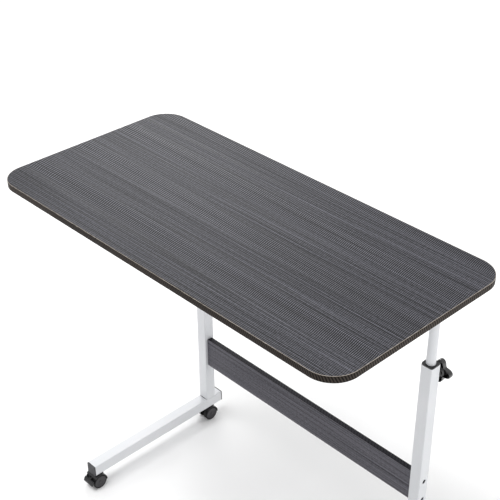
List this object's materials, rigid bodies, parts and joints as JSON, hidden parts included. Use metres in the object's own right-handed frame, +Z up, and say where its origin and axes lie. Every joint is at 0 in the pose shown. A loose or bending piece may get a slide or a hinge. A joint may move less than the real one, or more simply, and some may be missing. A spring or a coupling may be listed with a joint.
{
  "type": "overbed table",
  "caption": "Height-adjustable overbed table: rounded wood-grain top on telescopic steel legs with clamp knobs, stretcher board and braked casters.",
  "frame": {"origin": "on the floor, under the middle of the table's whole length and depth", "axes": "+X along the worktop to the right, +Y to the back where the legs stand, +Z up"},
  "size_m": [1.004, 0.512, 0.875],
  "materials": {
    "worktop_laminate": "dark grey wood-grain melamine, matt, grain along the length",
    "stretcher_laminate": "dark grey wood-grain melamine, matt",
    "edge_band": "dark wood-grain edge band",
    "white_steel": "white powder coat, satin",
    "black_plastic": "moulded, fine texture",
    "knob_plastic": "moulded, satin",
    "cap_plastic": "moulded, satin",
    "wheel_plastic": "moulded nylon, satin",
    "white_nylon": "turned nylon",
    "zinc_steel": "zinc plated"
  },
  "bodies": {
    "base": {"outer_tube_left": "white_steel", "outer_tube_right": "white_steel", "tube_collars": "black_plastic", "clamp_nuts": "zinc_steel", "leg_base_plates": "zinc_steel", "leg_bolts": "zinc_steel", "stretcher": "stretcher_laminate", "stretcher_edge_band": "edge_band", "stretcher_bolts": "zinc_steel", "barrel_nuts": "zinc_steel", "foot_left": "white_steel", "foot_right": "white_steel", "front_foot_caps": "cap_plastic", "rear_foot_caps": "cap_plastic", "caster_nuts": "zinc_steel", "caster_stems": "zinc_steel"},
    "upper_frame": {"worktop": "worktop_laminate", "worktop_edge_band": "edge_band", "support_arm_left": "white_steel", "support_arm_right": "white_steel", "arm_end_caps": "black_plastic", "worktop_screws": "zinc_steel", "inner_tube_left": "white_steel", "inner_tube_right": "white_steel", "inner_tube_glides": "black_plastic"},
    "clamp_screw_left": {"clamp_stud_left": "zinc_steel", "clamp_pad_left": "white_nylon"},
    "knob_left": {"clamp_knob_left": "knob_plastic"},
    "clamp_screw_right": {"clamp_stud_right": "zinc_steel", "clamp_pad_right": "white_nylon"},
    "knob_right": {"clamp_knob_right": "knob_plastic"},
    "caster_front_left": {"caster_hood_front_left": "black_plastic", "caster_axle_front_left": "zinc_steel", "brake_pin_left": "zinc_steel"},
    "wheel_front_left_outer": {"wheel_front_left_outer": "wheel_plastic"},
    "wheel_front_left_inner": {"wheel_front_left_inner": "wheel_plastic"},
    "brake_left": {"brake_lever_left": "black_plastic"},
    "caster_front_right": {"caster_hood_front_right": "black_plastic", "caster_axle_front_right": "zinc_steel", "brake_pin_right": "zinc_steel"},
    "wheel_front_right_outer": {"wheel_front_right_outer": "wheel_plastic"},
    "wheel_front_right_inner": {"wheel_front_right_inner": "wheel_plastic"},
    "brake_right": {"brake_lever_right": "black_plastic"},
    "caster_rear_left": {"caster_hood_rear_left": "black_plastic", "caster_axle_rear_left": "zinc_steel"},
    "wheel_rear_left_outer": {"wheel_rear_left_outer": "wheel_plastic"},
    "wheel_rear_left_inner": {"wheel_rear_left_inner": "wheel_plastic"},
    "caster_rear_right": {"caster_hood_rear_right": "black_plastic", "caster_axle_rear_right": "zinc_steel"},
    "wheel_rear_right_outer": {"wheel_rear_right_outer": "wheel_plastic"},
    "wheel_rear_right_inner": {"wheel_rear_right_inner": "wheel_plastic"}
  },
  "joints": [
    {"name": "height", "type": "slide", "parent": "base", "child": "upper_frame", "axis": [0, 0, 1], "range_m": [-0.185, 0.035]},
    {"name": "clamp_travel_left", "type": "slide", "parent": "base", "child": "clamp_screw_left", "axis": [0, 1, 0], "range_m": [0, 0.00251]},
    {"name": "knob_turn_left", "type": "hinge", "parent": "clamp_screw_left", "child": "knob_left", "pos_m": [-0.362, 0.2425, 0.55], "axis": [0, 1, 0], "range_deg": [0, 720]},
    {"name": "clamp_travel_right", "type": "slide", "parent": "base", "child": "clamp_screw_right", "axis": [0, 1, 0], "range_m": [0, 0.00251]},
    {"name": "knob_turn_right", "type": "hinge", "parent": "clamp_screw_right", "child": "knob_right", "pos_m": [0.362, 0.2425, 0.55], "axis": [0, 1, 0], "range_deg": [0, 720]},
    {"name": "swivel_front_left", "type": "hinge", "parent": "base", "child": "caster_front_left", "pos_m": [-0.362, -0.16, 0.03], "axis": [0, 0, 1], "continuous": true},
    {"name": "roll_front_left_outer", "type": "hinge", "parent": "caster_front_left", "child": "wheel_front_left_outer", "pos_m": [-0.362, -0.175, 0.019], "axis": [1, 0, 0], "continuous": true},
    {"name": "roll_front_left_inner", "type": "hinge", "parent": "caster_front_left", "child": "wheel_front_left_inner", "pos_m": [-0.362, -0.175, 0.019], "axis": [1, 0, 0], "continuous": true},
    {"name": "brake_left", "type": "hinge", "parent": "caster_front_left", "child": "brake_left", "pos_m": [-0.362, -0.189, 0.029], "axis": [-1, 0, 0], "range_deg": [0, 18]},
    {"name": "swivel_front_right", "type": "hinge", "parent": "base", "child": "caster_front_right", "pos_m": [0.362, -0.16, 0.03], "axis": [0, 0, 1], "continuous": true},
    {"name": "roll_front_right_outer", "type": "hinge", "parent": "caster_front_right", "child": "wheel_front_right_outer", "pos_m": [0.362, -0.175, 0.019], "axis": [1, 0, 0], "continuous": true},
    {"name": "roll_front_right_inner", "type": "hinge", "parent": "caster_front_right", "child": "wheel_front_right_inner", "pos_m": [0.362, -0.175, 0.019], "axis": [1, 0, 0], "continuous": true},
    {"name": "brake_right", "type": "hinge", "parent": "caster_front_right", "child": "brake_right", "pos_m": [0.362, -0.189, 0.029], "axis": [-1, 0, 0], "range_deg": [0, 18]},
    {"name": "swivel_rear_left", "type": "hinge", "parent": "base", "child": "caster_rear_left", "pos_m": [-0.362, 0.222, 0.03], "axis": [0, 0, 1], "continuous": true},
    {"name": "roll_rear_left_outer", "type": "hinge", "parent": "caster_rear_left", "child": "wheel_rear_left_outer", "pos_m": [-0.362, 0.207, 0.019], "axis": [1, 0, 0], "continuous": true},
    {"name": "roll_rear_left_inner", "type": "hinge", "parent": "caster_rear_left", "child": "wheel_rear_left_inner", "pos_m": [-0.362, 0.207, 0.019], "axis": [1, 0, 0], "continuous": true},
    {"name": "swivel_rear_right", "type": "hinge", "parent": "base", "child": "caster_rear_right", "pos_m": [0.362, 0.222, 0.03], "axis": [0, 0, 1], "continuous": true},
    {"name": "roll_rear_right_outer", "type": "hinge", "parent": "caster_rear_right", "child": "wheel_rear_right_outer", "pos_m": [0.362, 0.207, 0.019], "axis": [1, 0, 0], "continuous": true},
    {"name": "roll_rear_right_inner", "type": "hinge", "parent": "caster_rear_right", "child": "wheel_rear_right_inner", "pos_m": [0.362, 0.207, 0.019], "axis": [1, 0, 0], "continuous": true}
  ],
  "couplings": [
    {"joint": "clamp_travel_left", "follows": "knob_turn_left", "m_per_rad": 0.00019894},
    {"joint": "clamp_travel_right", "follows": "knob_turn_right", "m_per_rad": 0.00019894}
  ]
}
